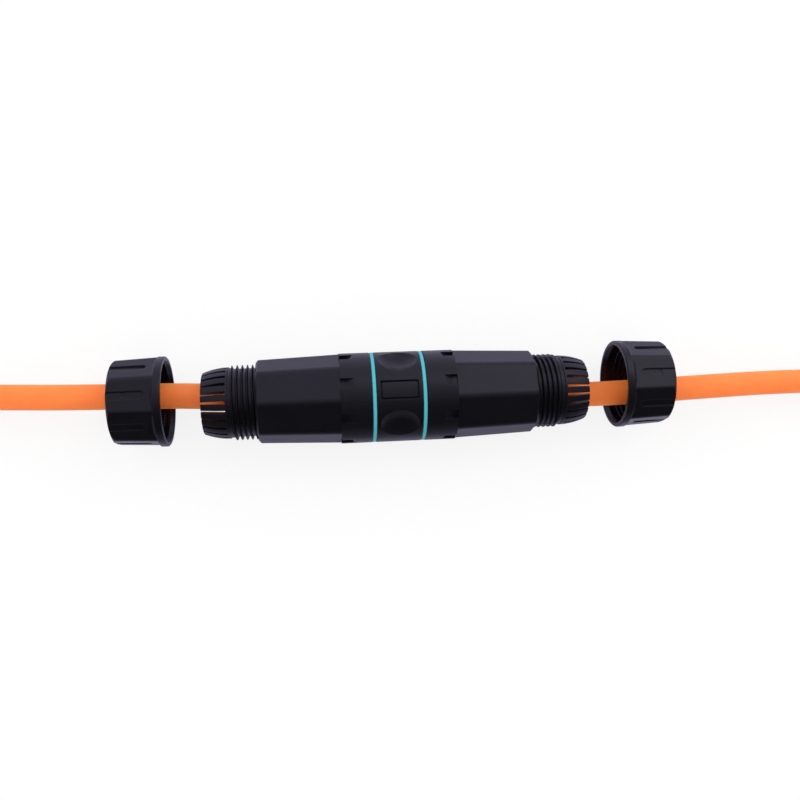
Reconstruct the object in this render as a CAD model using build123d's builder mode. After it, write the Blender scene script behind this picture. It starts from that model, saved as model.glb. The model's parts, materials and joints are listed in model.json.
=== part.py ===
from build123d import *
import os
from math import cos, pi, radians, sin, tan

# Waterproof inline network coupler with the two leads that it joins, in millimetres.
# The coupler lies on the floor z = 0 with its axis along X and its middle over the origin.
# Each piece is drawn about its own Z axis, with X as its reference direction, and is then
# set in place by a plane. "left" is the -X end and "right" is the +X end.

# Lengths along the axis, from the middle of the coupler to the claw tips
sleeve_half_width = 6.75
seal_width = 1.1
collar_length = 9.15
octagon_length = 24.5
thread_length = 6.8
neck_length = 1.2
claw_length = 7.6

# Outside of the body
body_radius = 13.5
seal_recess = 0.05
octagon_end_radius = 12.6
octagon_sides = 8
octagon_edge_radius = 2.8
octagon_end_chamfer = 0.7
rim_radius = 0.3
thread_root_radius = 10.1
neck_radius = 10.35
claw_base_radius = 10.6
claw_tip_radius = 9.1
claw_count = 24
claw_root_slit = 1.0
claw_tip_slit = 0.55
claw_root = 0.5
claw_turn = 4.5

# Inside of the body
fit = 0.1
spigot_length = 8.0
spigot_step = 2.5
spigot_wall = 1.05
bulkhead_half_width = 2.0
shell_cone_length = 3.0
neck_bore_radius = 8.5
claw_tip_bore_radius = 7.7
shell_cavity_length = 23.0

# Finger dishes and the framed field on the sleeve
dish_count = 4
dish_radius = 5.7
dish_depth = 2.1
field_length = 11.1
field_width = 5.5
field_groove_width = 0.5
field_groove_depth = 0.9

# Snap pockets round each collar, one at the middle of each flat of the octagon
pocket_length = 4.0
pocket_floor_length = 1.3
pocket_width = 2.9
pocket_depth = 1.5

# Gland nut
nut_gap = 10.5
nut_drift = 1.2
nut_length = 15.4
nut_flange_radius = 13.3
nut_flange_length = 2.0
nut_flange_slope = 0.7
nut_corner_radius = 13.5
nut_end_corner_radius = 12.75
nut_edge_radius = 1.8
nut_round_length = 1.9
nut_mouth_radius = 12.1
nut_mouth_length = 1.2
nut_bore_radius = 11.4
nut_bore_length = 11.0
nut_cone_length = 2.8
nut_hole_radius = 7.2
nut_flute_width = 2.2
nut_flute_depth = 0.5
nut_flute_setback = 2.6

# Modular plug with eight contacts
plug_width = 11.7
plug_height = 8.0
plug_length = 21.5
plug_nose_chamfer = 0.5
barrel_radius = 4.6
barrel_length = 3.0
latch_width = 6.0
latch_tail_width = 3.2
latch_thickness = 1.1
latch_length = 14.5
latch_shoulder = 8.0
latch_lift = 1.8
contact_count = 8
contact_pitch = 1.02
contact_thickness = 0.34
contact_depth = 1.3
contact_recess = 0.3
contact_length = 6.5
contact_clearance = 0.06

# Jack in the middle, open at both ends
jack_half_length = 14.5
jack_web_half = 2.2
jack_wall = 0.9
jack_edge_radius = 0.6
plug_clearance = 0.15
spring_thickness = 0.3
spring_width = 0.4
spring_reach = 10.5
spring_touch = 5.5
spring_channel_depth = 0.9

# Cable, its grommet in the gland and the boot at its far plug
cable_radius = 3.8
arc_share = 0.45
grommet_radius = 6.2
grommet_length = 6.0
grommet_distance = 18.0
grommet_clearance = 0.1
boot_length = 14.0
boot_front_height = 9.6
boot_front_width = 11.6
boot_corner_radius = 2.4
boot_tail_radius = 4.75
boot_groove_count = 3
boot_groove_width = 1.1
boot_groove_pitch = 2.6
boot_groove_bottom = 4.45

# Turn of each piece about the axis, in degrees from straight up towards +Y
sleeve_roll = 8.0
shell_roll = -3.8
nut_roll = {"left": 9.5, "right": 14.0}

# Routes of the cables from the inner plug, out of the gland and along the floor
cable_route = {
    "left": [
        (-38.0, 0.0, 13.5),
        (-54.0, 2.2, 12.8),
        (-72.0, 3.0, 12.1),
        (-96.0, 3.4, 11.4),
        (-118.0, 4.4, 8.6),
        (-142.0, 5.2, 5.3),
        (-168.0, 5.4, 3.9),
        (-194.0, 4.2, 3.9),
        (-212.0, 2.7, 4.8),
        (-228.0, 1.4, 4.8),
    ],
    "right": [
        (38.0, 0.0, 13.5),
        (54.0, -1.7, 13.0),
        (72.0, -1.6, 12.4),
        (96.0, -0.8, 11.8),
        (118.0, -0.2, 8.6),
        (142.0, -0.3, 5.4),
        (168.0, -1.6, 3.9),
        (194.0, -3.4, 3.9),
        (212.0, -5.2, 4.8),
        (228.0, -6.6, 4.8),
    ],
}

# Places along the axis that follow from those lengths
axis_height = body_radius
seal_radius = body_radius - seal_recess
spigot_radius = body_radius - spigot_step
spigot_bore_radius = spigot_radius - spigot_wall
collar_start = sleeve_half_width + seal_width
octagon_start = collar_start + collar_length
thread_start = octagon_start + octagon_length
neck_start = thread_start + thread_length
claw_start = neck_start + neck_length
claw_end = claw_start + claw_length
spigot_end = collar_start + spigot_length
spigot_stop = spigot_end + fit
cavity_end = spigot_stop + shell_cavity_length - shell_cone_length
nut_mouth = claw_end + nut_gap
plug_reach = barrel_length + plug_length
inner_plug_start = jack_web_half + plug_clearance + plug_reach
half_side = 180 / octagon_sides
sides = {"left": -1, "right": 1}
margin = 1.0


def on_axis(distance, towards, roll, drift=0):
    """Plane across the coupler's axis, with Z along it and X up, turned by roll and set off towards +Y."""
    up = (0, sin(radians(roll)), cos(radians(roll)))
    return Plane(origin=(distance, drift, axis_height), x_dir=up, z_dir=(towards, 0, 0))


def lengthwise(angle):
    """Plane through a piece's own axis, with X outwards at that angle and Y along the axis."""
    a = radians(angle)
    return Plane(origin=(0, 0, 0), x_dir=(cos(a), sin(a), 0), z_dir=(sin(a), -cos(a), 0))


def facing(angle, height):
    """Plane through a piece's own axis that looks outwards at that angle, with X along the axis."""
    a = radians(angle)
    return Plane(origin=(0, 0, height), x_dir=(0, 0, 1), z_dir=(cos(a), sin(a), 0))


def taper_of(start_radius, end_radius, length):
    """Taper in degrees of a polygon's flats between two corner radii."""
    return Vector(length, (start_radius - end_radius) * cos(radians(half_side))).get_angle(Vector(1, 0))


def long_edges(part):
    """The edges that run along a tapered prism."""
    return part.edges().filter_by(lambda edge: abs((edge % 0.5).Z) > 0.9)


def place(piece, plane, name):
    """Sets a finished piece in the coupler and writes it."""
    with BuildPart(plane) as placed:
        add(piece.part)
    placed.part.label = name
    export_step(placed.part, f"parts/{name}.step")


os.makedirs("parts", exist_ok=True)

# Groove that frames the bare field on the sleeve
with BuildPart() as field_groove:
    with BuildSketch(Plane.YZ):
        Rectangle(field_width, field_length)
        Rectangle(
            field_width - 2 * field_groove_width,
            field_length - 2 * field_groove_width,
            mode=Mode.SUBTRACT,
        )
    extrude(amount=body_radius + margin)
    Cylinder(body_radius - field_groove_depth, 2 * body_radius, mode=Mode.SUBTRACT)

# Jack: one moulding with a plug cavity at each end and a web between them, round enough for the spigot's bore
cavity_height = plug_height + 2 * plug_clearance
cavity_width = plug_width + 2 * plug_clearance
latch_room = latch_lift + plug_clearance
jack_top = cavity_height / 2 + spring_channel_depth + jack_wall
jack_bottom = cavity_height / 2 + latch_room + jack_wall
jack_height = jack_top + jack_bottom
jack_width = cavity_width + 2 * jack_wall
jack_middle = (jack_top - jack_bottom) / 2
with BuildPart() as jack_housing:
    with BuildSketch(Plane.XY.offset(-jack_half_length)):
        with Locations((jack_middle, 0)):
            Rectangle(jack_height, jack_width)
    extrude(amount=2 * jack_half_length)
    fillet(jack_housing.edges().filter_by(Axis.Z), jack_edge_radius)
    Cylinder(spigot_bore_radius - fit, 2 * jack_half_length, mode=Mode.INTERSECT)
    for end in (-1, 1):
        with BuildSketch(Plane.XY.offset(end * jack_web_half)):
            Rectangle(cavity_height, cavity_width)
            with Locations((-(cavity_height + latch_room) / 2, 0)):
                Rectangle(latch_room, latch_width + 2 * plug_clearance)
        extrude(amount=end * jack_half_length, mode=Mode.SUBTRACT)
    with BuildSketch(Plane.XY.offset(-spring_reach - plug_clearance)):
        with Locations((cavity_height / 2 + spring_channel_depth / 2, 0)):
            with GridLocations(0, contact_pitch, 1, contact_count):
                Rectangle(spring_channel_depth, spring_width + 2 * contact_clearance)
    extrude(amount=2 * (spring_reach + plug_clearance), mode=Mode.SUBTRACT)

# Springs: eight strips through the web, each end folded back onto the plug's contact
spring_top = cavity_height / 2 + spring_channel_depth - contact_clearance
spring_tip = plug_height / 2 - contact_recess + contact_clearance
spring_drop = spring_top - spring_tip
spring_fold = spring_touch + (spring_reach - spring_touch) * (1 - 2 * spring_thickness / spring_drop)
with BuildPart() as spring:
    with BuildSketch(Plane.XZ):
        with BuildLine():
            Polyline(
                (spring_top, 0),
                (spring_top, spring_reach),
                (spring_tip, spring_touch),
                (spring_tip + spring_thickness, spring_touch),
                (spring_top - spring_thickness, spring_fold),
                (spring_top - spring_thickness, 0),
                close=True,
            )
        make_face()
        mirror(about=Plane.XZ)
    extrude(amount=spring_width / 2, both=True)
with BuildPart() as jack_springs:
    with GridLocations(0, contact_pitch, 1, contact_count):
        add(spring.part)

# Centre sleeve: grip ring, a spigot each side for the shells and a bulkhead that holds the jack
with BuildPart() as centre_sleeve:
    with BuildSketch(Plane.XZ):
        with BuildLine():
            Polyline(
                (0, 0),
                (body_radius, 0),
                (body_radius, sleeve_half_width),
                (spigot_radius, sleeve_half_width),
                (spigot_radius, spigot_end),
                (spigot_bore_radius, spigot_end),
                (spigot_bore_radius, bulkhead_half_width),
                (0, bulkhead_half_width),
                close=True,
            )
        outline = make_face()
        rims = outline.vertices().filter_by_position(Axis.X, body_radius - fit, body_radius + fit)
        fillet(rims.sort_by(Axis.Y)[-1:], rim_radius)
        mirror(about=Plane.XZ)
    revolve(axis=Axis.Z)
    with BuildSketch(Plane.XY.offset(-bulkhead_half_width - margin)):
        with Locations((jack_middle, 0)):
            RectangleRounded(jack_height + 2 * fit, jack_width + 2 * fit, jack_edge_radius)
    extrude(amount=2 * (bulkhead_half_width + margin), mode=Mode.SUBTRACT)
    dish_sphere = (dish_radius**2 + dish_depth**2) / (2 * dish_depth)
    dish_centre = body_radius + dish_sphere - dish_depth
    with PolarLocations(dish_centre, dish_count, start_angle=180 / dish_count):
        Sphere(dish_sphere, mode=Mode.SUBTRACT)
    add(field_groove.part, mode=Mode.SUBTRACT)

# Seal ring between the sleeve and a shell
with BuildPart() as seal_ring:
    with BuildSketch(Plane.XZ):
        with Locations(((spigot_radius + fit + seal_radius) / 2, sleeve_half_width + seal_width / 2)):
            RectangleRounded(seal_radius - spigot_radius - fit, seal_width, rim_radius)
    revolve(axis=Axis.Z)

# End shell: round collar, tapered octagon, threaded neck and a collet of claws
with BuildPart() as end_shell:
    with BuildSketch(Plane.XY.offset(octagon_start)):
        RegularPolygon(body_radius, octagon_sides)
    extrude(amount=octagon_length, taper=taper_of(body_radius, octagon_end_radius, octagon_length))
    fillet(long_edges(end_shell), octagon_edge_radius)
    chamfer(end_shell.faces().sort_by(Axis.Z)[-1].edges(), octagon_end_chamfer)
    with BuildSketch(Plane.XZ):
        with BuildLine():
            Polyline(
                (claw_tip_radius, claw_end),
                (0, claw_end),
                (0, collar_start),
                (body_radius - rim_radius, collar_start),
            )
            RadiusArc(
                (body_radius - rim_radius, collar_start),
                (body_radius, collar_start + rim_radius),
                -rim_radius,
            )
            Polyline(
                (body_radius, collar_start + rim_radius),
                (body_radius, octagon_start),
                (thread_root_radius, octagon_start),
                (thread_root_radius, neck_start),
                (neck_radius, neck_start),
                (neck_radius, claw_start),
                (claw_base_radius, claw_start),
            )
            TangentArc((claw_base_radius, claw_start), (claw_tip_radius, claw_end), tangent=(0, 1))
        make_face()
    revolve(axis=Axis.Z)
    with BuildSketch(Plane.XZ):
        with BuildLine():
            Polyline(
                (0, collar_start),
                (spigot_radius + fit, collar_start),
                (spigot_radius + fit, spigot_stop),
                (spigot_bore_radius, spigot_stop),
                (spigot_bore_radius, cavity_end),
                (neck_bore_radius, cavity_end + shell_cone_length),
                (neck_bore_radius, claw_start),
                (claw_tip_bore_radius, claw_end),
                (0, claw_end),
                close=True,
            )
        make_face()
    revolve(axis=Axis.Z, mode=Mode.SUBTRACT)
    for number in range(claw_count):
        with BuildSketch(facing(claw_turn + number * 360 / claw_count, claw_start + claw_root)):
            with BuildLine():
                Polyline(
                    (0, -claw_root_slit / 2),
                    (claw_length, -claw_tip_slit / 2),
                    (claw_length, claw_tip_slit / 2),
                    (0, claw_root_slit / 2),
                    close=True,
                )
            make_face()
        extrude(amount=claw_base_radius + margin, mode=Mode.SUBTRACT)
    for number in range(octagon_sides):
        with BuildSketch(lengthwise((2 * number + 1) * half_side)):
            with BuildLine():
                Polyline(
                    (body_radius, octagon_start - pocket_length),
                    (body_radius - pocket_depth, octagon_start - pocket_floor_length),
                    (body_radius - pocket_depth, octagon_start),
                    (body_radius + margin, octagon_start),
                    (body_radius + margin, octagon_start - pocket_length),
                    close=True,
                )
            make_face()
        extrude(amount=pocket_width / 2, both=True, mode=Mode.SUBTRACT)

# Gland nut: octagon with a flute along each flat, round flange at the mouth and a cone inside
with BuildPart() as gland_nut:
    with BuildSketch():
        RegularPolygon(nut_corner_radius, octagon_sides, rotation=half_side)
    nut_taper = taper_of(nut_corner_radius, nut_end_corner_radius, nut_length)
    extrude(amount=nut_length, taper=nut_taper)
    fillet(long_edges(gland_nut), nut_edge_radius)
    flute_start = nut_flange_length + nut_flute_setback + nut_flute_width / 2
    flat_radius = nut_corner_radius * cos(radians(half_side)) - flute_start * tan(radians(nut_taper))
    for number in range(octagon_sides):
        flat = facing(2 * number * half_side, flute_start).offset(flat_radius).rotated((0, -nut_taper, 0))
        with BuildSketch(flat.offset(-nut_flute_depth)):
            Circle(nut_flute_width / 2)
            with Locations((nut_length / 2, 0)):
                Rectangle(nut_length, nut_flute_width)
        extrude(amount=nut_flute_depth + margin, mode=Mode.SUBTRACT)
    with BuildSketch(Plane.XZ):
        with BuildLine():
            Polyline(
                (0, 0),
                (nut_flange_radius, 0),
                (nut_flange_radius, nut_flange_length),
                (nut_flange_radius - nut_flange_slope, nut_flange_length + nut_flange_slope),
                (0, nut_flange_length + nut_flange_slope),
                close=True,
            )
        make_face()
    revolve(axis=Axis.Z)
    with BuildSketch(Plane.XZ):
        with BuildLine():
            Polyline(
                (nut_end_corner_radius - nut_round_length, nut_length),
                (0, nut_length),
                (0, 0),
                (nut_flange_radius - rim_radius, 0),
                (nut_flange_radius, rim_radius),
                (nut_flange_radius, nut_flange_length),
                (nut_end_corner_radius, nut_length - nut_round_length),
            )
            TangentArc(
                (nut_end_corner_radius, nut_length - nut_round_length),
                (nut_end_corner_radius - nut_round_length, nut_length),
                tangent=(0, 1),
            )
        make_face()
    revolve(axis=Axis.Z, mode=Mode.INTERSECT)
    with BuildSketch(Plane.XZ):
        with BuildLine():
            Polyline(
                (0, 0),
                (nut_mouth_radius, 0),
                (nut_bore_radius, nut_mouth_length),
                (nut_bore_radius, nut_bore_length),
                (nut_hole_radius, nut_bore_length + nut_cone_length),
                (nut_hole_radius, nut_length),
                (0, nut_length),
                close=True,
            )
        make_face()
    revolve(axis=Axis.Z, mode=Mode.SUBTRACT)

# Plug: barrel for the cable at z = 0, body and nose towards +Z, contacts up and latch below
with BuildPart() as plug_body:
    with BuildSketch():
        Circle(barrel_radius)
    extrude(amount=barrel_length)
    with BuildSketch(Plane.XY.offset(barrel_length)):
        Rectangle(plug_height, plug_width)
    extrude(amount=plug_length)
    chamfer(plug_body.faces().sort_by(Axis.Z)[-1].edges(), plug_nose_chamfer)
    latch_root = plug_reach - plug_nose_chamfer
    latch_foot = latch_root - latch_length
    for width, low_end in ((latch_width, latch_root - latch_shoulder), (latch_tail_width, latch_foot)):
        drop = latch_lift * (latch_root - low_end) / latch_length
        with BuildSketch(Plane.XZ):
            with BuildLine():
                Polyline(
                    (-plug_height / 2, latch_root),
                    (-plug_height / 2 - latch_thickness / 2, latch_root),
                    (-plug_height / 2 - drop, low_end),
                    (-plug_height / 2 - drop + latch_thickness, low_end),
                    (-plug_height / 2 + latch_thickness / 2, latch_root),
                    close=True,
                )
            make_face()
        extrude(amount=width / 2, both=True)
    with BuildSketch(Plane.XY.offset(plug_reach)):
        with Locations(((plug_height - contact_depth + margin) / 2, 0)):
            with GridLocations(0, contact_pitch, 1, contact_count):
                Rectangle(contact_depth + margin, contact_thickness + 2 * contact_clearance)
    extrude(amount=-contact_length, mode=Mode.SUBTRACT)

# Plug contacts: eight blades on the floors of the plug's slots
with BuildPart() as plug_contacts:
    blade_height = contact_depth - contact_recess
    with BuildSketch(Plane.XY.offset(plug_reach - plug_nose_chamfer)):
        with Locations((plug_height / 2 - contact_depth + blade_height / 2, 0)):
            with GridLocations(0, contact_pitch, 1, contact_count):
                Rectangle(blade_height, contact_thickness)
    extrude(amount=plug_nose_chamfer + contact_clearance - contact_length)

# Boot behind the far plug: tapers to the cable and is ringed so that it bends
with BuildPart() as plug_boot:
    with BuildSketch(Plane.XY.offset(barrel_length)):
        RectangleRounded(boot_front_height, boot_front_width, boot_corner_radius)
    with BuildSketch(Plane.XY.offset(barrel_length - boot_length)):
        Circle(boot_tail_radius)
    loft()
    with BuildSketch():
        Circle(barrel_radius + fit / 2)
    extrude(amount=barrel_length, mode=Mode.SUBTRACT)
    with BuildSketch(Plane.XY.offset(barrel_length - boot_length)):
        Circle(cable_radius + grommet_clearance)
    extrude(amount=boot_length, mode=Mode.SUBTRACT)
    for number in range(boot_groove_count):
        start = barrel_length - boot_length + boot_groove_pitch * (number + 0.5)
        with BuildSketch(Plane.XY.offset(start)):
            Circle(boot_front_width)
            Circle(boot_groove_bottom, mode=Mode.SUBTRACT)
        extrude(amount=boot_groove_width, mode=Mode.SUBTRACT)

# Grommet: rubber seal that sits on the cable inside the neck
with BuildPart() as cable_grommet:
    with BuildSketch():
        Circle(grommet_radius)
        Circle(cable_radius + grommet_clearance, mode=Mode.SUBTRACT)
    extrude(amount=grommet_length / 2, both=True)
    chamfer(cable_grommet.edges().filter_by(GeomType.CIRCLE).sort_by(SortBy.RADIUS)[-2:], rim_radius)

place(centre_sleeve, on_axis(0, 1, sleeve_roll), "centre_sleeve")
place(jack_housing, on_axis(0, 1, sleeve_roll), "jack_housing")
place(jack_springs, on_axis(0, 1, sleeve_roll), "jack_springs")

for side, out in sides.items():
    inner_plug = on_axis(out * inner_plug_start, -out, sleeve_roll)
    place(seal_ring, on_axis(0, out, shell_roll), f"{side}_seal_ring")
    place(end_shell, on_axis(0, out, shell_roll), f"{side}_end_shell")
    place(gland_nut, on_axis(out * nut_mouth, out, nut_roll[side], nut_drift), f"{side}_gland_nut")
    place(plug_body, inner_plug, f"{side}_inner_plug")
    place(plug_contacts, inner_plug, f"{side}_inner_plug_contacts")

    # The cable starts square on the inner plug and each corner gets the largest arc that fits
    route = [Vector(out * inner_plug_start, 0, axis_height)] + [Vector(p) for p in cable_route[side]]
    radii = []
    for before, corner, after in zip(route, route[1:], route[2:]):
        turn = (corner - before).get_angle(after - corner)
        shorter = min((corner - before).length, (after - corner).length)
        radii.append(arc_share * shorter / tan(radians(turn / 2)))
    with BuildPart() as cable:
        with BuildLine() as path:
            FilletPolyline(*route, radius=radii)
        with BuildSketch(Plane(origin=route[0], z_dir=route[1] - route[0])):
            Circle(cable_radius)
        sweep(path=path.wire())
    cable.part.label = f"{side}_cable"
    export_step(cable.part, f"parts/{side}_cable.step")
    centreline = path.wire()
    whole = pi * cable_radius**2 * centreline.length
    print(side, "cable length", round(centreline.length, 1), "arc radii", [round(r) for r in radii])
    print(side, "cable volume over section times length", round(cable.part.volume / whole, 5))

    spot = centreline.position_at(grommet_distance, position_mode=PositionMode.LENGTH)
    heading = centreline.tangent_at(grommet_distance, position_mode=PositionMode.LENGTH)
    place(cable_grommet, Plane(origin=spot, z_dir=heading), f"{side}_cable_grommet")

    # The far plug lies on the floor in line with the end of its cable, latch up
    far_plug = Plane(origin=route[-1], x_dir=(0, 0, -1), z_dir=route[-1] - route[-2])
    place(plug_body, far_plug, f"{side}_far_plug")
    place(plug_contacts, far_plug, f"{side}_far_plug_contacts")
    place(plug_boot, far_plug, f"{side}_plug_boot")
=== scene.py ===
import json
import math

import bpy
from mathutils import Matrix, Vector


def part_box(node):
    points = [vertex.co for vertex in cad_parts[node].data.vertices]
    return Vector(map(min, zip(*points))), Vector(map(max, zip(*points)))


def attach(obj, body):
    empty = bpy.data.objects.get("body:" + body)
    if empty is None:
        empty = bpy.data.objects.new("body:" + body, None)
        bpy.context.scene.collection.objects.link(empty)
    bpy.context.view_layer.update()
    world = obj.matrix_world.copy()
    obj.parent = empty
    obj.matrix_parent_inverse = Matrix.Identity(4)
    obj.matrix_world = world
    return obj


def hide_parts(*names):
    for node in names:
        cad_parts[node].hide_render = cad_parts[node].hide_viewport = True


bl_info = {
    "name": "Inline network coupler",
    "version": (1, 0, 0),
    "blender": (4, 5, 0),
    "location": "View3D > Sidebar > Coupler",
    "description": "Dresses the packed coupler with its threads, leads and finishes on a plain stage",
    "category": "Object",
}

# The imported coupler, its box before anything is added, and the colours that its record names
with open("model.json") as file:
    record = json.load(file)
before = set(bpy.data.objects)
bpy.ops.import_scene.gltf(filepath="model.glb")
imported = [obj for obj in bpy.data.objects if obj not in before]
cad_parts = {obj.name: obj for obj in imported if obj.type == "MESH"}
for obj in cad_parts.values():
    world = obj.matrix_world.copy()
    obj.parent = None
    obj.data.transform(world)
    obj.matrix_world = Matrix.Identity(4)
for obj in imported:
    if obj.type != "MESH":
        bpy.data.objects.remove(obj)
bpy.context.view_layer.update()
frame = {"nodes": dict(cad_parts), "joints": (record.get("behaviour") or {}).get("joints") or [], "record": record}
slot_colours = {entry["slot"]: tuple(entry["base_color"]) for entry in frame["record"]["materials"]}
sides = {"left": -1, "right": 1}

# Routes of the two leads, from the inner plug to the far plug, in metres
lead_routes = {
    "left": [
        (-0.02685, 0.0, 0.0135),
        (-0.038, 0.0, 0.0135),
        (-0.054, 0.0022, 0.0128),
        (-0.072, 0.003, 0.0121),
        (-0.096, 0.0034, 0.0114),
        (-0.118, 0.0044, 0.0086),
        (-0.142, 0.0052, 0.0053),
        (-0.168, 0.0054, 0.0039),
        (-0.194, 0.0042, 0.0039),
        (-0.212, 0.0027, 0.0048),
        (-0.228, 0.0014, 0.0048),
    ],
    "right": [
        (0.02685, 0.0, 0.0135),
        (0.038, 0.0, 0.0135),
        (0.054, -0.0017, 0.013),
        (0.072, -0.0016, 0.0124),
        (0.096, -0.0008, 0.0118),
        (0.118, -0.0002, 0.0086),
        (0.142, -0.0003, 0.0054),
        (0.168, -0.0016, 0.0039),
        (0.194, -0.0034, 0.0039),
        (0.212, -0.0052, 0.0048),
        (0.228, -0.0066, 0.0048),
    ],
}

# Fan of the wires in a far plug: metres past the jacket's end, share of the full spread, drop towards the
# contacts, and how far neighbours stand above and below each other
wire_fan = [
    (-0.0005, 0.55, 0.0, 0.0005),
    (0.003, 0.55, 0.0002, 0.0005),
    (0.0075, 0.85, 0.0015, 0.0003),
    (0.011, 1.0, 0.0022, 0.0),
    (0.017, 1.0, 0.0022, 0.0),
    (0.0238, 1.0, 0.0022, 0.0),
]

# Insulation of the eight wires, in the order of the contacts
wire_colours = {
    "orange_white": (0.85, 0.6, 0.42),
    "orange": (0.9, 0.2, 0.02),
    "green_white": (0.56, 0.76, 0.56),
    "blue": (0.02, 0.08, 0.4),
    "blue_white": (0.56, 0.66, 0.82),
    "green": (0.02, 0.26, 0.05),
    "brown_white": (0.72, 0.6, 0.5),
    "brown": (0.13, 0.045, 0.015),
}

# Threads: facets in a turn, facets and depth of a ridge's run-out, the steepest edge that looks smooth, how
# near a corner counts as that corner, and the cosine above which two directions count as one
turn_facets = 64
run_out_facets = 8
run_out_depth = 0.9
smooth_angle = math.radians(35)
corner_reach = 0.01
same_direction = 0.9999

# How far the jacket's soft plastic scatters red, green and blue light, in diameters
jacket_scatter = (1.0, 0.15, 0.1)

# Plain colours of the stage
white = (1.0, 1.0, 1.0)
black = (0.0, 0.0, 0.0)

# Refraction of clear polycarbonate, and the share of light that goes into it
plug_refraction = 1.58
plug_clarity = 0.96


class CouplerFinish(bpy.types.PropertyGroup):
    """Colours and gloss of the coupler's materials."""

    housing_colour: bpy.props.FloatVectorProperty(
        name="Housing colour",
        description="Moulded plastic of the sleeve and the end shells",
        subtype="COLOR",
        min=0.0,
        max=1.0,
        default=slot_colours["housing_plastic"],
    )
    nut_colour: bpy.props.FloatVectorProperty(
        name="Nut colour",
        description="Moulded plastic of the gland nuts",
        subtype="COLOR",
        min=0.0,
        max=1.0,
        default=slot_colours["nut_plastic"],
    )
    seal_colour: bpy.props.FloatVectorProperty(
        name="Seal colour",
        description="Silicone rings beside the sleeve",
        subtype="COLOR",
        min=0.0,
        max=1.0,
        default=slot_colours["seal_rubber"],
    )
    jacket_colour: bpy.props.FloatVectorProperty(
        name="Jacket colour",
        description="Outer jacket of the leads",
        subtype="COLOR",
        min=0.0,
        max=1.0,
        default=slot_colours["cable_jacket"],
    )
    boot_colour: bpy.props.FloatVectorProperty(
        name="Boot colour",
        description="Rubber boots behind the far plugs",
        subtype="COLOR",
        min=0.0,
        max=1.0,
        default=slot_colours["boot_rubber"],
    )
    housing_sheen: bpy.props.FloatVectorProperty(
        name="Housing sheen",
        description="Tint of the light that the housing mirrors",
        subtype="COLOR",
        min=0.0,
        max=1.0,
        default=(0.9, 0.86, 1.0),
    )
    nut_sheen: bpy.props.FloatVectorProperty(
        name="Nut sheen",
        description="Tint of the light that the nuts mirror",
        subtype="COLOR",
        min=0.0,
        max=1.0,
        default=(0.9, 0.87, 1.0),
    )
    housing_roughness: bpy.props.FloatProperty(
        name="Housing roughness",
        description="Gloss of the housing, from mirror to chalk",
        subtype="FACTOR",
        min=0.0,
        max=1.0,
        default=0.32,
    )
    nut_roughness: bpy.props.FloatProperty(
        name="Nut roughness",
        description="Gloss of the nuts, from mirror to chalk",
        subtype="FACTOR",
        min=0.0,
        max=1.0,
        default=0.28,
    )
    housing_edge: bpy.props.FloatProperty(
        name="Housing edge",
        description="Radius that the housing's edges seem to have",
        unit="LENGTH",
        default=0.0003,
    )
    nut_edge: bpy.props.FloatProperty(
        name="Nut edge",
        description="Radius that the nuts' edges seem to have",
        unit="LENGTH",
        default=0.00045,
    )


class CouplerThread(bpy.types.PropertyGroup):
    """Sizes of the gland threads."""

    pitch: bpy.props.FloatProperty(
        name="Pitch",
        description="Advance of the thread in one turn",
        unit="LENGTH",
        default=0.0015,
    )
    neck_start: bpy.props.FloatProperty(
        name="Neck start",
        description="Where the neck's thread starts along the axis",
        unit="LENGTH",
        default=0.041375,
    )
    neck_turns: bpy.props.FloatProperty(
        name="Neck turns",
        description="Turns of the thread on each neck",
        default=4.85,
    )
    neck_root: bpy.props.FloatProperty(
        name="Neck root radius",
        description="Radius at the foot of the neck's thread",
        unit="LENGTH",
        default=0.01005,
    )
    neck_crest: bpy.props.FloatProperty(
        name="Neck crest radius",
        description="Radius over the neck's thread",
        unit="LENGTH",
        default=0.01115,
    )
    nut_setback: bpy.props.FloatProperty(
        name="Nut setback",
        description="Mouth of the nut to its first thread",
        unit="LENGTH",
        default=0.0016,
    )
    nut_turns: bpy.props.FloatProperty(
        name="Nut turns",
        description="Turns of the thread in each nut",
        default=5.0,
    )
    nut_root: bpy.props.FloatProperty(
        name="Nut root radius",
        description="Radius at the foot of the nut's thread",
        unit="LENGTH",
        default=0.01145,
    )
    nut_crest: bpy.props.FloatProperty(
        name="Nut crest radius",
        description="Radius inside the nut's thread",
        unit="LENGTH",
        default=0.01105,
    )
    foot_width: bpy.props.FloatProperty(
        name="Foot width",
        description="Width of a thread ridge at its foot",
        unit="LENGTH",
        default=0.00085,
    )
    crest_width: bpy.props.FloatProperty(
        name="Crest width",
        description="Width of a thread ridge at its crest",
        unit="LENGTH",
        default=0.00014,
    )


class CouplerLead(bpy.types.PropertyGroup):
    """Sizes of the leads."""

    diameter: bpy.props.FloatProperty(
        name="Lead diameter",
        description="Outside of the jacket",
        unit="LENGTH",
        default=0.0076,
    )
    length: bpy.props.FloatProperty(
        name="Lead length",
        description="Jacket from the inner plug to the far plug",
        unit="LENGTH",
        default=0.202,
    )
    wire_diameter: bpy.props.FloatProperty(
        name="Wire diameter",
        description="Outside of a wire's insulation",
        unit="LENGTH",
        default=0.00094,
    )
    wire_pitch: bpy.props.FloatProperty(
        name="Wire pitch",
        description="Wire to wire at the contacts",
        unit="LENGTH",
        default=0.00102,
    )


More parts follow.
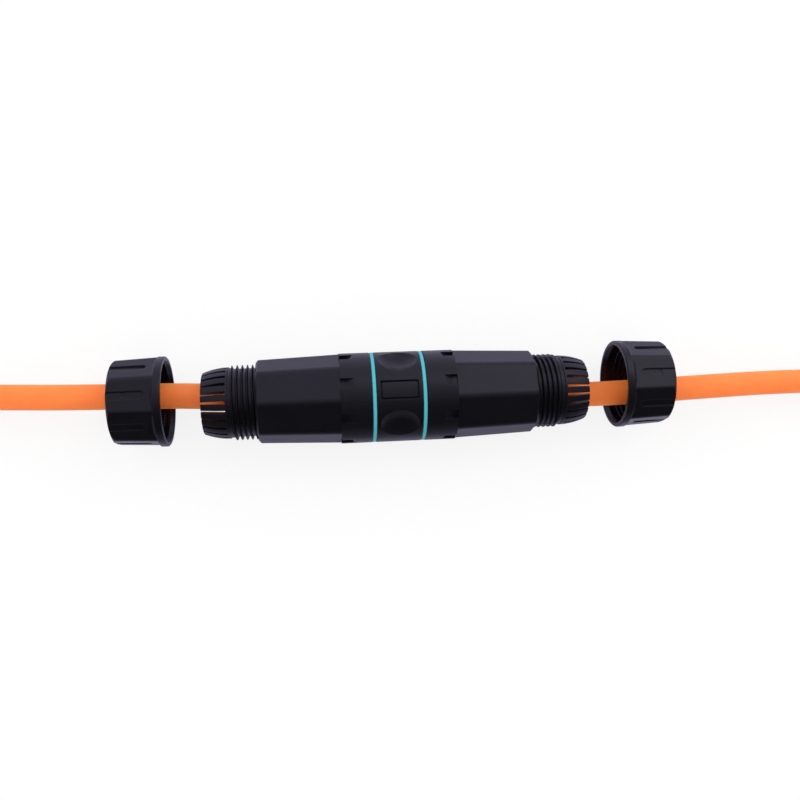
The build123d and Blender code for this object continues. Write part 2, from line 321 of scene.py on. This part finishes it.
class CouplerStage(bpy.types.PropertyGroup):
    """Camera, lamps, room and floor."""

    lens: bpy.props.FloatProperty(
        name="Lens",
        description="Focal length of the camera",
        subtype="DISTANCE_CAMERA",
        default=38.33,
    )
    camera_distance: bpy.props.FloatProperty(
        name="Camera distance",
        description="Camera to the coupler's axis",
        unit="LENGTH",
        default=0.2574,
    )
    camera_across: bpy.props.FloatProperty(
        name="Picture offset across",
        description="Coupler's middle right of the picture's middle",
        unit="LENGTH",
        default=-0.00111,
    )
    camera_up: bpy.props.FloatProperty(
        name="Picture offset up",
        description="Coupler's middle above the picture's middle",
        unit="LENGTH",
        default=0.0011,
    )
    camera_yaw: bpy.props.FloatProperty(
        name="Yaw",
        description="Turn that brings the left end nearer",
        subtype="ANGLE",
        default=math.radians(5.2),
    )
    camera_roll: bpy.props.FloatProperty(
        name="Roll",
        description="Rise of the axis to the right in the picture",
        subtype="ANGLE",
        default=math.radians(2.3),
    )
    lamp_place: bpy.props.FloatVectorProperty(
        name="Lamp place",
        description="Right-hand soft lamp; the left-hand one mirrors it",
        subtype="XYZ",
        unit="LENGTH",
        default=(1.1, 0.5, 0.7),
    )
    lamp_size: bpy.props.FloatVectorProperty(
        name="Lamp size",
        description="Width and height of each soft lamp",
        size=2,
        unit="LENGTH",
        default=(1.2, 1.0),
    )
    lamp_power: bpy.props.FloatProperty(
        name="Lamp power",
        description="Light of each soft lamp",
        subtype="POWER",
        default=4.5,
    )
    window_place: bpy.props.FloatVectorProperty(
        name="Window place",
        description="Soft light that shows on the right-hand end",
        subtype="XYZ",
        unit="LENGTH",
        default=(0.66, 0.78, 0.86),
    )
    window_size: bpy.props.FloatVectorProperty(
        name="Window size",
        description="Width and height of the window",
        size=2,
        unit="LENGTH",
        default=(0.9, 0.9),
    )
    window_power: bpy.props.FloatProperty(
        name="Window power",
        description="Light of the window",
        subtype="POWER",
        default=1.3,
    )
    shade_start: bpy.props.FloatProperty(
        name="Shade start",
        description="Near end of the room's shading, from -1 this side to 1 beyond",
        default=-0.6,
    )
    shade_end: bpy.props.FloatProperty(
        name="Shade end",
        description="Far end of the room's shading, from -1 this side to 1 beyond",
        default=0.8,
    )
    room_far: bpy.props.FloatProperty(
        name="Room beyond",
        description="Light from the room beyond the coupler",
        default=1.1,
    )
    room_near: bpy.props.FloatProperty(
        name="Room this side",
        description="Light from the room on the near side",
        default=0.85,
    )
    gloss_far: bpy.props.FloatProperty(
        name="Room beyond in gloss",
        description="Room beyond the coupler as glossy surfaces show it",
        default=0.66,
    )
    gloss_near: bpy.props.FloatProperty(
        name="Room this side in gloss",
        description="Near side of the room as glossy surfaces show it",
        default=0.04,
    )
    gloss_tint: bpy.props.FloatVectorProperty(
        name="Room tint in gloss",
        description="Tint of the room as glossy surfaces show it",
        subtype="COLOR",
        min=0.0,
        max=1.0,
        default=(0.86, 0.83, 1.0),
    )
    floor_gloss: bpy.props.FloatVectorProperty(
        name="Floor in gloss",
        description="Colour of the floor as glossy surfaces show it",
        subtype="COLOR",
        min=0.0,
        max=1.0,
        default=(0.55, 0.53, 0.72),
    )
    floor_fade: bpy.props.FloatProperty(
        name="Floor fade in gloss",
        description="Share of the floor's light that glossy surfaces show well out on the near side",
        subtype="FACTOR",
        min=0.0,
        max=1.0,
        default=0.3,
    )
    fade_start: bpy.props.FloatProperty(
        name="Fade start",
        description="Near side of the axis to where the floor starts to fade",
        unit="LENGTH",
        default=0.025,
    )
    fade_end: bpy.props.FloatProperty(
        name="Fade end",
        description="Near side of the axis to where the floor is faded",
        unit="LENGTH",
        default=0.05,
    )
    floor_size: bpy.props.FloatProperty(
        name="Floor size",
        description="Side of the square floor",
        unit="LENGTH",
        default=8.0,
    )
    floor_white: bpy.props.FloatProperty(
        name="Floor white",
        description="Share of plain white in the floor that the camera sees",
        subtype="FACTOR",
        min=0.0,
        max=1.0,
        default=0.8,
    )
    floor_colour: bpy.props.FloatVectorProperty(
        name="Floor colour",
        description="Plain pale floor",
        subtype="COLOR",
        min=0.0,
        max=1.0,
        default=(0.9, 0.9, 0.9),
    )


def deselect():
    """Leaves nothing selected, in object mode."""
    if bpy.context.object is not None and bpy.context.object.mode != "OBJECT":
        bpy.ops.object.mode_set(mode="OBJECT")
    bpy.ops.object.select_all(action="DESELECT")


def only(piece):
    """Makes one piece the selected and active one."""
    deselect()
    piece.select_set(True)
    bpy.context.view_layer.objects.active = piece


def pick(piece, test):
    """In edit mode, selects only the vertices that pass a test of their place."""
    bpy.ops.mesh.select_mode(type="VERT")
    bpy.ops.mesh.select_all(action="DESELECT")
    bpy.ops.object.mode_set(mode="OBJECT")
    for vertex in piece.data.vertices:
        vertex.select = test(vertex.co)
    bpy.ops.object.mode_set(mode="EDIT")


def settle(piece):
    """Moves a piece's place, turn and scale into its mesh."""
    only(piece)
    bpy.ops.object.transform_apply(location=True, rotation=True, scale=True)


def dress(name, material):
    """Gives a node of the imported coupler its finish."""
    mesh = frame["nodes"][name].data
    mesh.materials.clear()
    mesh.materials.append(material)


def add_node(tree, kind, **settings):
    """Adds a shader node with its settings and plain input values."""
    node = tree.nodes.new(kind)
    for key, value in settings.items():
        if key in node.bl_rna.properties:
            setattr(node, key, value)
        else:
            node.inputs[key].default_value = value
    return node


def colour_mix(tree, first, second):
    """Adds a mix of two colours."""
    mix = tree.nodes.new("ShaderNodeMix")
    mix.data_type = "RGBA"
    mix.inputs["A"].default_value = (*first, 1.0)
    mix.inputs["B"].default_value = (*second, 1.0)
    return mix


def new_material(name):
    """A material with its Principled shader and object coordinates."""
    material = bpy.data.materials.new(name)
    material.use_nodes = True
    shader = material.node_tree.nodes["Principled BSDF"]
    place = material.node_tree.nodes.new("ShaderNodeTexCoord")
    return material, shader, place.outputs["Object"]


def moulded_skin():
    """Node group: fine spark-eroded grain, broad mottling, thin handling marks and rounded edges."""
    group = bpy.data.node_groups.get("moulded_skin")
    if group is not None:
        return group
    group = bpy.data.node_groups.new("moulded_skin", "ShaderNodeTree")
    face = group.interface
    face.new_socket("Vector", in_out="INPUT", socket_type="NodeSocketVector")
    face.new_socket("Grain scale", in_out="INPUT", socket_type="NodeSocketFloat").default_value = 4000.0
    face.new_socket("Mottle scale", in_out="INPUT", socket_type="NodeSocketFloat").default_value = 120.0
    face.new_socket("Edge radius", in_out="INPUT", socket_type="NodeSocketFloat").default_value = 0.0
    face.new_socket("Grain", in_out="OUTPUT", socket_type="NodeSocketFloat")
    face.new_socket("Mottle", in_out="OUTPUT", socket_type="NodeSocketFloat")
    face.new_socket("Marks", in_out="OUTPUT", socket_type="NodeSocketFloat")
    face.new_socket("Edges", in_out="OUTPUT", socket_type="NodeSocketVector")
    inner = group.nodes.new("NodeGroupInput")
    outer = group.nodes.new("NodeGroupOutput")
    grain = add_node(group, "ShaderNodeTexNoise", Detail=3.0, Roughness=0.6)
    mottle = add_node(group, "ShaderNodeTexNoise", Detail=4.0, Roughness=0.55)
    stretch = add_node(group, "ShaderNodeMapping", Scale=(60.0, 900.0, 900.0))
    streak = add_node(group, "ShaderNodeTexNoise", Scale=1.0, Detail=2.0, Roughness=0.5)
    sharpen = add_node(group, "ShaderNodeValToRGB")
    sharpen.color_ramp.elements[0].position = 0.6
    sharpen.color_ramp.elements[1].position = 0.75
    rounded = add_node(group, "ShaderNodeBevel", samples=6)
    group.links.new(inner.outputs["Vector"], grain.inputs["Vector"])
    group.links.new(inner.outputs["Grain scale"], grain.inputs["Scale"])
    group.links.new(inner.outputs["Vector"], mottle.inputs["Vector"])
    group.links.new(inner.outputs["Mottle scale"], mottle.inputs["Scale"])
    group.links.new(inner.outputs["Vector"], stretch.inputs["Vector"])
    group.links.new(stretch.outputs["Vector"], streak.inputs["Vector"])
    group.links.new(streak.outputs["Fac"], sharpen.inputs["Fac"])
    group.links.new(grain.outputs["Fac"], outer.inputs["Grain"])
    group.links.new(mottle.outputs["Fac"], outer.inputs["Mottle"])
    group.links.new(sharpen.outputs["Color"], outer.inputs["Marks"])
    group.links.new(inner.outputs["Edge radius"], rounded.inputs["Radius"])
    group.links.new(rounded.outputs["Normal"], outer.inputs["Edges"])
    return group


def moulded(
    name,
    colour,
    roughness,
    spread,
    grain_depth,
    grain_scale=4000.0,
    lift=1.35,
    edge_radius=0.0,
    shader_values=None,
):
    """A moulded finish over a fine grain: the lift mottles its colour and the spread its gloss.

    An edge radius makes edges look round, and shader values go to its Principled shader as they are.
    """
    material, shader, place = new_material(name)
    tree = material.node_tree
    skin = tree.nodes.new("ShaderNodeGroup")
    skin.node_tree = moulded_skin()
    skin.inputs["Grain scale"].default_value = grain_scale
    tree.links.new(place, skin.inputs["Vector"])
    darker = [channel / lift for channel in colour]
    lighter = [min(1.0, channel * lift) for channel in colour]
    tint = colour_mix(tree, darker, lighter)
    tree.links.new(skin.outputs["Mottle"], tint.inputs["Factor"])
    tree.links.new(tint.outputs["Result"], shader.inputs["Base Color"])
    gloss = add_node(tree, "ShaderNodeMapRange")
    gloss.inputs["To Min"].default_value = roughness - spread
    gloss.inputs["To Max"].default_value = roughness + spread
    tree.links.new(skin.outputs["Mottle"], gloss.inputs["Value"])
    worn = add_node(tree, "ShaderNodeMath", operation="MULTIPLY_ADD")
    worn.inputs[1].default_value = -spread
    tree.links.new(skin.outputs["Marks"], worn.inputs[0])
    tree.links.new(gloss.outputs["Result"], worn.inputs[2])
    tree.links.new(worn.outputs["Value"], shader.inputs["Roughness"])
    bump = add_node(tree, "ShaderNodeBump", Strength=1.0, Distance=grain_depth)
    tree.links.new(skin.outputs["Grain"], bump.inputs["Height"])
    if edge_radius > 0:
        skin.inputs["Edge radius"].default_value = edge_radius
        tree.links.new(skin.outputs["Edges"], bump.inputs["Normal"])
    tree.links.new(bump.outputs["Normal"], shader.inputs["Normal"])
    for socket, value in (shader_values or {}).items():
        shader.inputs[socket].default_value = value
    return material


def housing_plastic():
    """Black satin plastic of the sleeve and the shells."""
    material = bpy.data.materials.get("housing_plastic_satin")
    if material is None:
        finish = bpy.context.scene.coupler_finish
        material = moulded(
            "housing_plastic_satin",
            finish.housing_colour,
            roughness=finish.housing_roughness,
            spread=0.05,
            grain_depth=0.000012,
            edge_radius=finish.housing_edge,
            shader_values={"Specular Tint": (*finish.housing_sheen, 1.0)},
        )
    return material


def nut_plastic():
    """Black plastic of the nuts, a little glossier than the shells."""
    material = bpy.data.materials.get("nut_plastic_satin")
    if material is None:
        finish = bpy.context.scene.coupler_finish
        material = moulded(
            "nut_plastic_satin",
            finish.nut_colour,
            roughness=finish.nut_roughness,
            spread=0.05,
            grain_depth=0.00001,
            edge_radius=finish.nut_edge,
            shader_values={"Specular Tint": (*finish.nut_sheen, 1.0)},
        )
    return material


class COUPLER_OT_housing(bpy.types.Operator):
    """Finishes the sleeve, the end shells and the jack in moulded plastic"""

    bl_idname = "coupler.housing"
    bl_label = "Finish the housing"

    def execute(self, context):
        for name in ("centre_sleeve", "left_end_shell", "right_end_shell"):
            dress(name, housing_plastic())
        jack = moulded(
            "jack_plastic_matt",
            slot_colours["jack_plastic"],
            roughness=0.5,
            spread=0.05,
            grain_depth=0.00001,
        )
        dress("jack_housing", jack)
        return {"FINISHED"}


class COUPLER_OT_seals(bpy.types.Operator):
    """Finishes the seal rings and the cable grommets in rubber"""

    bl_idname = "coupler.seals"
    bl_label = "Finish the seals"

    def execute(self, context):
        finish = context.scene.coupler_finish
        silicone = moulded(
            "seal_silicone",
            finish.seal_colour,
            roughness=0.45,
            spread=0.04,
            grain_depth=0.000006,
            lift=1.08,
        )
        grommet = moulded(
            "grommet_rubber_matt",
            slot_colours["grommet_rubber"],
            roughness=0.7,
            spread=0.08,
            grain_depth=0.00002,
        )
        for side in sides:
            dress(f"{side}_seal_ring", silicone)
            dress(f"{side}_cable_grommet", grommet)
        return {"FINISHED"}


class COUPLER_OT_nuts(bpy.types.Operator):
    """Finishes the gland nuts in moulded plastic"""

    bl_idname = "coupler.nuts"
    bl_label = "Finish the gland nuts"

    def execute(self, context):
        for side in sides:
            dress(f"{side}_gland_nut", nut_plastic())
        return {"FINISHED"}


def axis_height():
    """Height of the coupler's axis above the floor."""
    low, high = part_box("centre_sleeve")
    return (low.z + high.z) / 2


def thread_ridge(name, start, turns, foot_radius, crest_radius, material):
    """One helical ridge about the coupler's axis, on the right-hand end, with its ends run out."""
    sizes = bpy.context.scene.coupler_thread
    steps = int(turn_facets * turns)
    deselect()
    bpy.ops.mesh.primitive_plane_add(size=1.0, location=(0.0, 0.0, 0.0))
    piece = bpy.context.object
    piece.name = name
    bpy.ops.object.mode_set(mode="EDIT")
    bpy.ops.mesh.select_all(action="SELECT")
    bpy.ops.mesh.delete(type="ONLY_FACE")
    corners = {
        (-0.5, -0.5): (start - sizes.foot_width / 2, foot_radius),
        (0.5, -0.5): (start + sizes.foot_width / 2, foot_radius),
        (0.5, 0.5): (start + sizes.crest_width / 2, crest_radius),
        (-0.5, 0.5): (start - sizes.crest_width / 2, crest_radius),
    }
    for (x, y), (along, radius) in corners.items():
        pick(piece, lambda place: (place - Vector((x, y, 0.0))).length < corner_reach)
        bpy.ops.transform.translate(value=(along - x, -y, radius))
    bpy.ops.object.mode_set(mode="OBJECT")
    screw = piece.modifiers.new("helix", "SCREW")
    screw.axis = "X"
    screw.angle = 2 * math.pi * turns
    screw.screw_offset = sizes.pitch * turns
    screw.steps = steps
    screw.render_steps = steps
    screw.use_smooth_shade = False
    only(piece)
    bpy.ops.object.modifier_apply(modifier=screw.name)
    run_out(piece, start, turns, steps, foot_radius, crest_radius)
    bpy.ops.object.mode_set(mode="EDIT")
    bpy.ops.mesh.select_all(action="SELECT")
    bpy.ops.mesh.fill_holes(sides=4)
    bpy.ops.mesh.select_all(action="SELECT")
    bpy.ops.mesh.normals_make_consistent(inside=False)
    bpy.ops.object.mode_set(mode="OBJECT")
    bpy.ops.object.shade_smooth_by_angle(angle=smooth_angle)
    piece.location.z = axis_height()
    settle(piece)
    piece.data.materials.append(material)
    return piece


def run_out(piece, start, turns, steps, foot_radius, crest_radius):
    """Sinks the crest into the foot over the first and last eighth of a turn."""
    pitch = bpy.context.scene.coupler_thread.pitch
    middle = (foot_radius + crest_radius) / 2
    rising = 1 if crest_radius > foot_radius else -1
    bpy.ops.object.mode_set(mode="EDIT")
    for facet in range(run_out_facets):
        sink = (crest_radius - foot_radius) * run_out_depth * (1 - facet / run_out_facets)
        for step in (facet, steps - facet):
            angle = 2 * math.pi * turns * step / steps
            along = start + pitch * turns * step / steps
            out = Vector((0.0, -math.sin(angle), math.cos(angle)))
            pick(
                piece,
                lambda place: abs(place.x - along) < pitch / 4
                and place.dot(out) > same_direction * math.hypot(place.y, place.z)
                and rising * (math.hypot(place.y, place.z) - middle) > 0,
            )
            bpy.ops.transform.translate(value=-sink * out)
    bpy.ops.object.mode_set(mode="OBJECT")


def other_end(piece, name):
    """A copy with its own mesh on the left-hand end, turned half round about the cross axis."""
    only(piece)
    bpy.ops.object.duplicate(linked=False)
    copy = bpy.context.object
    copy.name = name
    copy.rotation_euler.y = math.pi
    copy.location.z = 2 * axis_height()
    settle(copy)
    return copy


class COUPLER_OT_neck_threads(bpy.types.Operator):
    """Makes the thread on each shell's neck"""

    bl_idname = "coupler.neck_threads"
    bl_label = "Make the neck threads"

    def execute(self, context):
        sizes = context.scene.coupler_thread
        right = thread_ridge(
            "right_neck_thread",
            sizes.neck_start,
            sizes.neck_turns,
            sizes.neck_root,
            sizes.neck_crest,
            housing_plastic(),
        )
        left = other_end(right, "left_neck_thread")
        for piece in (left, right):
            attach(piece, "coupler")
        return {"FINISHED"}


def right_nut_travel():
    """How far the right-hand nut moves from where it hangs to where it is home."""
    joint = next(joint for joint in frame["joints"] if joint["name"] == "right_nut_slide")
    return Vector(joint["axis"]) * joint["range_m"][1]


class COUPLER_OT_nut_threads(bpy.types.Operator):
    """Makes the thread inside each nut, in step with the neck's when the nut is home"""

    bl_idname = "coupler.nut_threads"
    bl_label = "Make the nut threads"

    def execute(self, context):
        sizes = context.scene.coupler_thread
        travel = right_nut_travel()
        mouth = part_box("right_gland_nut")[0]
        start = mouth.x + sizes.nut_setback
        between = sizes.neck_start + sizes.pitch / 2 - travel.x
        start += (between - start) % sizes.pitch
        right = thread_ridge(
            "right_nut_thread", start, sizes.nut_turns, sizes.nut_root, sizes.nut_crest, nut_plastic()
        )
        left = other_end(right, "left_nut_thread")
        for piece in (left, right):
            piece.location.y = -travel.y
            settle(piece)
        for side, piece in (("left", left), ("right", right)):
            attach(piece, f"{side}_nut")
        return {"FINISHED"}


def round_curve(name, diameter, roundness):
    """A curve with a round section and closed ends."""
    curve = bpy.data.curves.new(name, "CURVE")
    curve.dimensions = "3D"
    curve.bevel_depth = diameter / 2
    curve.bevel_resolution = roundness
    curve.use_fill_caps = True
    return curve


def add_run(curve, places, smoothness):
    """Adds a smooth run that follows a list of places."""
    spline = curve.splines.new("NURBS")
    spline.points.add(len(places) - 1)
    for point, place in zip(spline.points, places):
        point.co = (*place, 1.0)
    spline.order_u = 3
    spline.use_endpoint_u = True
    spline.resolution_u = smoothness
    return spline


class COUPLER_OT_wires(bpy.types.Operator):
    """Makes the eight wires that fan out inside each far plug"""

    bl_idname = "coupler.wires"
    bl_label = "Make the plug wires"

    def execute(self, context):
        sizes = context.scene.coupler_lead
        insulation = []
        for name, colour in wire_colours.items():
            material = moulded(
                f"wire_{name}",
                colour,
                roughness=0.4,
                spread=0.04,
                grain_depth=0.000003,
                grain_scale=3000.0,
                lift=1.04,
            )
            insulation.append(material)
        for side, route in lead_routes.items():
            end = Vector(route[-1])
            along = (end - Vector(route[-2])).normalized()
            up = Vector((0.0, 0.0, 1.0))
            across = along.cross(up)
            curve = round_curve(f"{side}_plug_wires", sizes.wire_diameter, roundness=3)
            for number, material in enumerate(insulation):
                curve.materials.append(material)
                aside = ((len(insulation) - 1) / 2 - number) * sizes.wire_pitch
                places = []
                for past, spread, drop, stagger in wire_fan:
                    rise = stagger * (-1) ** number - drop
                    places.append(end + past * along + spread * aside * across + rise * up)
                add_run(curve, places, smoothness=6).material_index = number
            wires = bpy.data.objects.new(f"{side}_plug_wires", curve)
            context.scene.collection.objects.link(wires)
            only(wires)
            bpy.ops.object.convert(target="MESH")
            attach(wires, "coupler")
        return {"FINISHED"}


class COUPLER_OT_leads(bpy.types.Operator):
    """Makes the two leads along their routes"""

    bl_idname = "coupler.leads"
    bl_label = "Make the leads"

    def execute(self, context):
        finish = context.scene.coupler_finish
        sizes = context.scene.coupler_lead
        jacket = moulded(
            "lead_jacket",
            finish.jacket_colour,
            roughness=0.58,
            spread=0.05,
            grain_depth=0.000008,
            grain_scale=1500.0,
            lift=1.06,
            shader_values={
                "Subsurface Weight": 1.0,
                "Subsurface Radius": jacket_scatter,
                "Subsurface Scale": sizes.diameter,
            },
        )
        for side, route in lead_routes.items():
            curve = round_curve(f"{side}_lead", sizes.diameter, roundness=10)
            add_run(curve, route, smoothness=10)
            curve.materials.append(jacket)
            lead = bpy.data.objects.new(f"{side}_lead", curve)
            context.scene.collection.objects.link(lead)
            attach(lead, "coupler")
            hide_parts(f"{side}_cable")
        return {"FINISHED"}


class COUPLER_OT_plugs(bpy.types.Operator):
    """Finishes the plugs, their contacts and boots, and the jack's springs"""

    bl_idname = "coupler.plugs"
    bl_label = "Finish the plugs"

    def execute(self, context):
        finish = context.scene.coupler_finish
        clear = moulded(
            "plug_polycarbonate",
            slot_colours["plug_plastic"],
            roughness=0.12,
            spread=0.04,
            grain_depth=0.000003,
            grain_scale=900.0,
            lift=1.03,
            shader_values={"Transmission Weight": plug_clarity, "IOR": plug_refraction},
        )
        gold = moulded(
            "contact_gold_flash",
            slot_colours["contact_metal"],
            roughness=0.24,
            spread=0.06,
            grain_depth=0.000003,
            grain_scale=6000.0,
            lift=1.05,
            shader_values={"Metallic": 1.0},
        )
        boot = moulded(
            "boot_rubber_matt",
            finish.boot_colour,
            roughness=0.55,
            spread=0.06,
            grain_depth=0.000012,
            grain_scale=3000.0,
            lift=1.06,
        )
        dress("jack_springs", gold)
        for side in sides:
            for where in ("inner", "far"):
                dress(f"{side}_{where}_plug", clear)
                dress(f"{side}_{where}_plug_contacts", gold)
            dress(f"{side}_plug_boot", boot)
        return {"FINISHED"}


def soft_lamp(name, place, size, power, in_gloss):
    """A rectangular soft lamp that faces the coupler, and may show in glossy surfaces."""
    lamp = bpy.data.lights.new(name, "AREA")
    lamp.shape = "RECTANGLE"
    lamp.size, lamp.size_y = size
    lamp.energy = power
    holder = bpy.data.objects.new(name, lamp)
    holder.location = place
    holder.rotation_euler = (-place).to_track_quat("-Z", "Y").to_euler()
    holder.visible_glossy = in_gloss
    bpy.context.scene.collection.objects.link(holder)


class COUPLER_OT_stage(bpy.types.Operator):
    """Makes the floor, the soft lamps, the room and the camera"""

    bl_idname = "coupler.stage"
    bl_label = "Set the stage"

    def execute(self, context):
        stage = context.scene.coupler_stage
        deselect()
        bpy.ops.mesh.primitive_plane_add(size=stage.floor_size, location=(0.0, 0.0, 0.0))
        floor = context.object
        floor.name = "floor"
        floor.data.materials.append(self.floor_finish(stage))
        for side, out in sides.items():
            place = Vector(stage.lamp_place)
            place.x *= out
            soft_lamp(f"{side}_lamp", place, stage.lamp_size, stage.lamp_power, in_gloss=False)
        place = Vector(stage.window_place)
        soft_lamp("window", place, stage.window_size, stage.window_power, in_gloss=True)
        context.scene.world = self.room_light(stage)
        context.scene.camera = self.camera_above(stage)
        context.scene.view_settings.view_transform = "Standard"
        return {"FINISHED"}

    def camera_above(self, stage):
        """Camera that looks down on the coupler, with its axis across the picture."""
        camera = bpy.data.cameras.new("camera")
        camera.lens = stage.lens
        camera.sensor_width = 36.0
        camera.clip_start = 0.01
        holder = bpy.data.objects.new("camera", camera)
        low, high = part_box("centre_sleeve")
        middle = (low + high) / 2
        offset = Vector((stage.camera_across, stage.camera_up, -stage.camera_distance))
        turn = Matrix.Rotation(-stage.camera_yaw, 4, "Y") @ Matrix.Rotation(-stage.camera_roll, 4, "Z")
        holder.matrix_world = Matrix.Translation(middle - turn @ offset) @ turn
        bpy.context.scene.collection.objects.link(holder)
        return holder

    def room_light(self, stage):
        """White room, lighter beyond the coupler, that shows dimmer in glossy surfaces."""
        room = bpy.data.worlds.new("room")
        room.use_nodes = True
        tree = room.node_tree
        light = tree.nodes["Background"]
        place = tree.nodes.new("ShaderNodeTexCoord")
        split = tree.nodes.new("ShaderNodeSeparateXYZ")
        tree.links.new(place.outputs["Generated"], split.inputs["Vector"])
        levels = []
        for near, far in ((stage.room_near, stage.room_far), (stage.gloss_near, stage.gloss_far)):
            level = add_node(tree, "ShaderNodeMapRange", interpolation_type="SMOOTHSTEP")
            level.inputs["From Min"].default_value = stage.shade_start
            level.inputs["From Max"].default_value = stage.shade_end
            level.inputs["To Min"].default_value = near
            level.inputs["To Max"].default_value = far
            tree.links.new(split.outputs["Y"], level.inputs["Value"])
            levels.append(level.outputs["Result"])
        path = tree.nodes.new("ShaderNodeLightPath")
        blend = tree.nodes.new("ShaderNodeMix")
        tree.links.new(path.outputs["Is Glossy Ray"], blend.inputs["Factor"])
        tree.links.new(levels[0], blend.inputs["A"])
        tree.links.new(levels[1], blend.inputs["B"])
        tint = colour_mix(tree, white, stage.gloss_tint)
        tree.links.new(path.outputs["Is Glossy Ray"], tint.inputs["Factor"])
        tree.links.new(tint.outputs["Result"], light.inputs["Color"])
        seen = add_node(tree, "ShaderNodeMath", operation="MAXIMUM")
        tree.links.new(path.outputs["Is Camera Ray"], seen.inputs[0])
        tree.links.new(blend.outputs["Result"], seen.inputs[1])
        tree.links.new(seen.outputs["Value"], light.inputs["Strength"])
        return room

    def floor_finish(self, stage):
        """Floor that looks white but keeps a soft shadow, and fades on the near side in glossy surfaces."""
        material = bpy.data.materials.new("floor_white")
        material.use_nodes = True
        tree = material.node_tree
        tree.nodes.clear()
        paint = tree.nodes.new("ShaderNodeBsdfDiffuse")
        dim = colour_mix(tree, stage.floor_colour, stage.floor_gloss)
        place = tree.nodes.new("ShaderNodeTexCoord")
        split = tree.nodes.new("ShaderNodeSeparateXYZ")
        fade = tree.nodes.new("ShaderNodeMapRange")
        fade.inputs["From Min"].default_value = -stage.fade_end
        fade.inputs["From Max"].default_value = -stage.fade_start
        fade.inputs["To Min"].default_value = stage.floor_fade
        faded = colour_mix(tree, black, stage.floor_gloss)
        tree.links.new(place.outputs["Object"], split.inputs["Vector"])
        tree.links.new(split.outputs["Y"], fade.inputs["Value"])
        tree.links.new(fade.outputs["Result"], faded.inputs["Factor"])
        tree.links.new(faded.outputs["Result"], dim.inputs["B"])
        glow = add_node(tree, "ShaderNodeEmission", Color=(*white, 1.0), Strength=1.0)
        path = tree.nodes.new("ShaderNodeLightPath")
        seen = add_node(tree, "ShaderNodeMath", operation="MAXIMUM")
        share = add_node(tree, "ShaderNodeMath", operation="MULTIPLY")
        share.inputs[1].default_value = stage.floor_white
        blend = tree.nodes.new("ShaderNodeMixShader")
        out = tree.nodes.new("ShaderNodeOutputMaterial")
        tree.links.new(path.outputs["Is Glossy Ray"], dim.inputs["Factor"])
        tree.links.new(dim.outputs["Result"], paint.inputs["Color"])
        tree.links.new(path.outputs["Is Camera Ray"], seen.inputs[0])
        tree.links.new(path.outputs["Is Transmission Ray"], seen.inputs[1])
        tree.links.new(seen.outputs["Value"], share.inputs[0])
        tree.links.new(share.outputs["Value"], blend.inputs["Fac"])
        tree.links.new(paint.outputs["BSDF"], blend.inputs[1])
        tree.links.new(glow.outputs["Emission"], blend.inputs[2])
        tree.links.new(blend.outputs["Shader"], out.inputs["Surface"])
        return material


class COUPLER_PT_sidebar(bpy.types.Panel):
    """Lists the coupler's operators and settings"""

    bl_idname = "COUPLER_PT_sidebar"
    bl_label = "Coupler"
    bl_space_type = "VIEW_3D"
    bl_region_type = "UI"
    bl_category = "Coupler"

    def draw(self, context):
        for operator in operators:
            self.layout.operator(operator.bl_idname)
        for group in settings_groups:
            settings = getattr(context.scene, group)
            box = self.layout.box()
            for key in settings.__annotations__:
                box.prop(settings, key)


settings_groups = {
    "coupler_finish": CouplerFinish,
    "coupler_thread": CouplerThread,
    "coupler_lead": CouplerLead,
    "coupler_stage": CouplerStage,
}
operators = (
    COUPLER_OT_wires,
    COUPLER_OT_leads,
    COUPLER_OT_housing,
    COUPLER_OT_seals,
    COUPLER_OT_neck_threads,
    COUPLER_OT_nuts,
    COUPLER_OT_nut_threads,
    COUPLER_OT_plugs,
    COUPLER_OT_stage,
)


def register():
    """Registers the settings, the operators and the panel."""
    for name, group in settings_groups.items():
        bpy.utils.register_class(group)
        setattr(bpy.types.Scene, name, bpy.props.PointerProperty(type=group))
    for operator in operators:
        bpy.utils.register_class(operator)
    bpy.utils.register_class(COUPLER_PT_sidebar)


def unregister():
    """Removes what register added."""
    bpy.utils.unregister_class(COUPLER_PT_sidebar)
    for operator in reversed(operators):
        bpy.utils.unregister_class(operator)
    for name, group in settings_groups.items():
        delattr(bpy.types.Scene, name)
        bpy.utils.unregister_class(group)


def main():
    """Builds the dressed coupler and its stage."""
    register()
    bpy.ops.coupler.wires()
    bpy.ops.coupler.leads()
    bpy.ops.coupler.housing()
    bpy.ops.coupler.seals()
    bpy.ops.coupler.neck_threads()
    bpy.ops.coupler.nuts()
    bpy.ops.coupler.nut_threads()
    bpy.ops.coupler.plugs()
    bpy.ops.coupler.stage()


if __name__ == "__main__":
    main()
